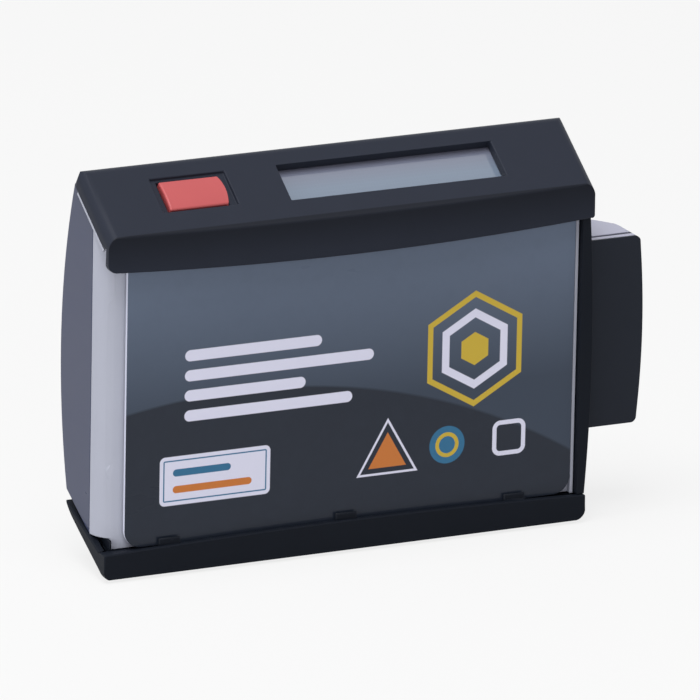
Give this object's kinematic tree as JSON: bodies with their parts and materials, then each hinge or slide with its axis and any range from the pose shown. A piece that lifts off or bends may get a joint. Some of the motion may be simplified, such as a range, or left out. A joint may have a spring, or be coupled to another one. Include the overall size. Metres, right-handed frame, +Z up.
{
  "type": "toll transponder",
  "caption": "Windscreen toll transponder with an upright card behind a low rail, a sloping hood with a button and LCD, and a side battery drawer.",
  "frame": {"origin": "centre of the flat land on the back, where the mounting pad sits", "axes": "+X to the right and +Z up as the card is read, +Y out of the back towards the windscreen"},
  "size_m": [0.106, 0.0213, 0.0696],
  "materials": {
    "hood_black": "satin moulded plastic, near black",
    "tray_black": "satin moulded plastic, black",
    "shell_grey": "light grey moulded plastic",
    "cover_slate": "dark glossy plastic",
    "card_print": "laminated card with a dark print",
    "button_red": "red push button, satin gloss",
    "lcd_glass": "reflective LCD cell",
    "guide_white": "clear white light guide",
    "frame_dark": "dark plastic",
    "contact_rubber": "conductive elastomer strip",
    "board_green": "printed circuit board with solder mask",
    "chip_black": "moulded package",
    "tin_steel": "bright plated steel",
    "can_blue": "sleeved aluminium can",
    "diode_tint": "tinted epoxy lens",
    "connector_white": "ivory connector housing",
    "spring_steel": "spring steel",
    "contact_brass": "gold-coloured contact",
    "grip_grey": "light grey moulded plastic",
    "cell_sleeve": "plain grey cell sleeve"
  },
  "bodies": {
    "housing": {"top_hood": "hood_black", "bottom_tray": "tray_black", "card_stop": "tray_black", "front_shell": "shell_grey", "rear_cover": "cover_slate", "card_springs": "spring_steel", "tact_switch": "chip_black", "display_glass": "lcd_glass", "light_guide": "guide_white", "display_frame": "frame_dark", "zebra_strip": "contact_rubber", "display_board": "board_green", "main_board": "board_green", "antenna_board": "board_green", "controller_chip": "chip_black", "quartz_can": "tin_steel", "supply_capacitor": "can_blue", "infrared_diodes": "diode_tint", "infrared_receiver": "diode_tint", "buzzer": "chip_black", "board_connector": "connector_white", "battery_bay": "frame_dark", "bay_contacts": "contact_brass", "case_screws": "tin_steel", "board_screws": "tin_steel"},
    "card": {"smart_card": "card_print"},
    "button": {"push_button": "button_red", "switch_plunger": "connector_white"},
    "drawer": {"drawer_cradle": "grip_grey", "grip_plate": "tray_black", "upper_cell": "cell_sleeve", "middle_cell": "cell_sleeve", "lower_cell": "cell_sleeve", "cell_springs": "spring_steel", "bridge_strips": "contact_brass"}
  },
  "joints": [
    {"name": "card_slide", "type": "slide", "parent": "housing", "child": "card", "axis": [-1, 0, 0], "range_m": [0, 0.088]},
    {"name": "button_press", "type": "slide", "parent": "housing", "child": "button", "axis": [0, 0.5592, -0.829], "range_m": [0, 0.0007], "stiffness_N_per_m": 2800},
    {"name": "drawer_slide", "type": "slide", "parent": "housing", "child": "drawer", "axis": [1, 0, 0], "range_m": [0, 0.04]}
  ]
}
